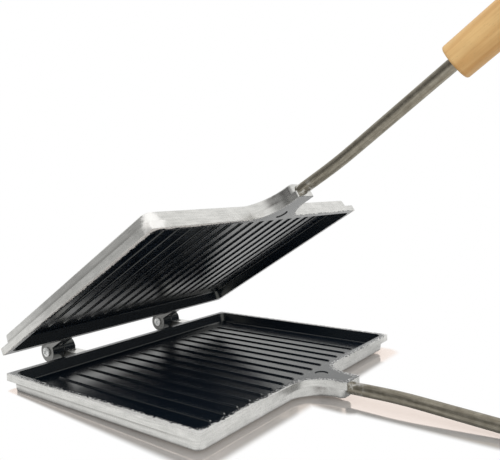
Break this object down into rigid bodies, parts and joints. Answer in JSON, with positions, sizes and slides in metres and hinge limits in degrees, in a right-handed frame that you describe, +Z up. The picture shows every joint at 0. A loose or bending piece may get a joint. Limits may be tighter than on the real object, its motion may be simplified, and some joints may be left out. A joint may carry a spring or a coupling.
{
  "type": "stovetop sandwich maker",
  "caption": "Hinged pair of ribbed cast pans for toasting sandwiches over a flame, each pan on a bent rod with a wooden grip.",
  "frame": {"origin": "centre of the lower pan's flat underside", "axes": "+X from the hinge side towards the handles, +Y along the hinge axis, +Z up out of the lower pan's underside"},
  "size_m": [0.4701, 0.231, 0.2958],
  "materials": {
    "coated_aluminium": "bare as-cast outside, black non-stick coating inside",
    "rod_steel": "plain drawn steel, slightly dull",
    "grip_wood": "smooth turned light wood",
    "zinc_steel": "bright zinc plating"
  },
  "bodies": {
    "lower_half": {"lower_pan": "coated_aluminium", "lower_rod": "rod_steel", "lower_grip": "grip_wood", "lower_grip_pin": "rod_steel", "hinge_screw_near": "zinc_steel", "hinge_screw_far": "zinc_steel", "hinge_washer_near": "zinc_steel", "hinge_washer_far": "zinc_steel", "hinge_nut_near": "zinc_steel", "hinge_nut_far": "zinc_steel"},
    "upper_half": {"upper_pan": "coated_aluminium", "upper_rod": "rod_steel", "upper_grip": "grip_wood", "upper_grip_pin": "rod_steel"}
  },
  "joints": [
    {"name": "pan_hinge", "type": "hinge", "parent": "lower_half", "child": "upper_half", "pos_m": [-0.11, 0, 0.0122], "axis": [0, -1, 0], "range_deg": [-30.8, 149.2]}
  ]
}
